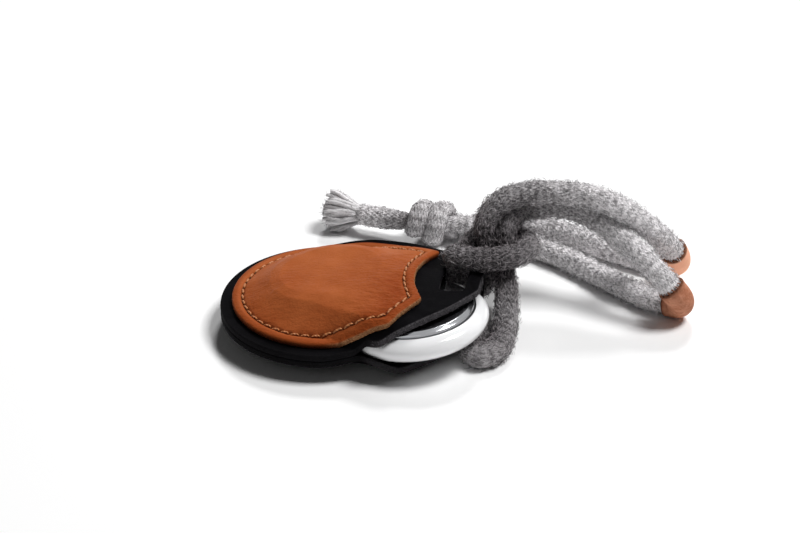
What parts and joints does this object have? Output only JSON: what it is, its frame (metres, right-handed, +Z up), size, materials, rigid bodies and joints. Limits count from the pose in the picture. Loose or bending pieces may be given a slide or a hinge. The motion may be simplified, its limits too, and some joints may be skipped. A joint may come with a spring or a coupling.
{
  "type": "tracker tag holder",
  "caption": "Sewn two-panel leather pocket with a patch and a slotted neck, a coin tracker half out of it, and a knotted wool cord looped through the slot",
  "frame": {"origin": "Centre of the flat underside of the back panel, which is also the middle of the round pocket", "axes": "+X runs from the pocket along the neck to the cord, +Y to the far side of the picture, +Z up from the table through the patch"},
  "size_m": [0.1035, 0.0734, 0.0296],
  "materials": {
    "back_panel": "black fine-grained leather, fuzzy cut edge",
    "front_panel": "black fine-grained leather, fuzzy cut edge",
    "patch": "tan vegetable-tanned leather, burnished and raw edge",
    "patch_stitches": "waxed thread",
    "tag_shell": "white, polished",
    "tag_cover": "polished steel",
    "cover_seal": "soft ring",
    "coin_cell": "plain",
    "battery_contacts": "plated spring",
    "circuit_board": "solder mask",
    "antenna_ring": "foil",
    "inner_frame": "moulded",
    "voice_coil": "wound wire",
    "speaker_magnet": "plated",
    "cord_bight": "felted wool",
    "cord_near": "felted wool",
    "cord_far": "felted wool",
    "sleeve_near": "smooth tan leather",
    "sleeve_far": "smooth tan leather",
    "sleeve_stitches": "waxed thread",
    "cord_knot": "felted wool",
    "cord_tail": "felted wool",
    "frayed_end": "loose wool strands"
  },
  "bodies": {
    "holder": {"back_panel": "back_panel", "front_panel": "front_panel", "patch": "patch", "patch_stitches": "patch_stitches", "cord_bight": "cord_bight", "cord_near": "cord_near", "cord_far": "cord_far", "sleeve_near": "sleeve_near", "sleeve_far": "sleeve_far", "sleeve_stitches": "sleeve_stitches", "cord_knot": "cord_knot", "cord_tail": "cord_tail", "frayed_end": "frayed_end"},
    "tracker": {"tag_shell": "tag_shell", "inner_frame": "inner_frame", "cover_seal": "cover_seal", "coin_cell": "coin_cell", "battery_contacts": "battery_contacts", "circuit_board": "circuit_board", "antenna_ring": "antenna_ring", "voice_coil": "voice_coil", "speaker_magnet": "speaker_magnet"},
    "cover": {"tag_cover": "tag_cover"}
  },
  "joints": [
    {"name": "tag_slide", "type": "slide", "parent": "holder", "child": "tracker", "axis": [-0.9253, 0.3775, -0.0368], "range_m": [-0.002, 0.0217]},
    {"name": "cover_twist", "type": "hinge", "parent": "tracker", "child": "cover", "pos_m": [0.0207, -0.007, 0.0074], "axis": [-0.1236, 0.0436, 0.9914], "range_deg": [-20, 0]}
  ]
}
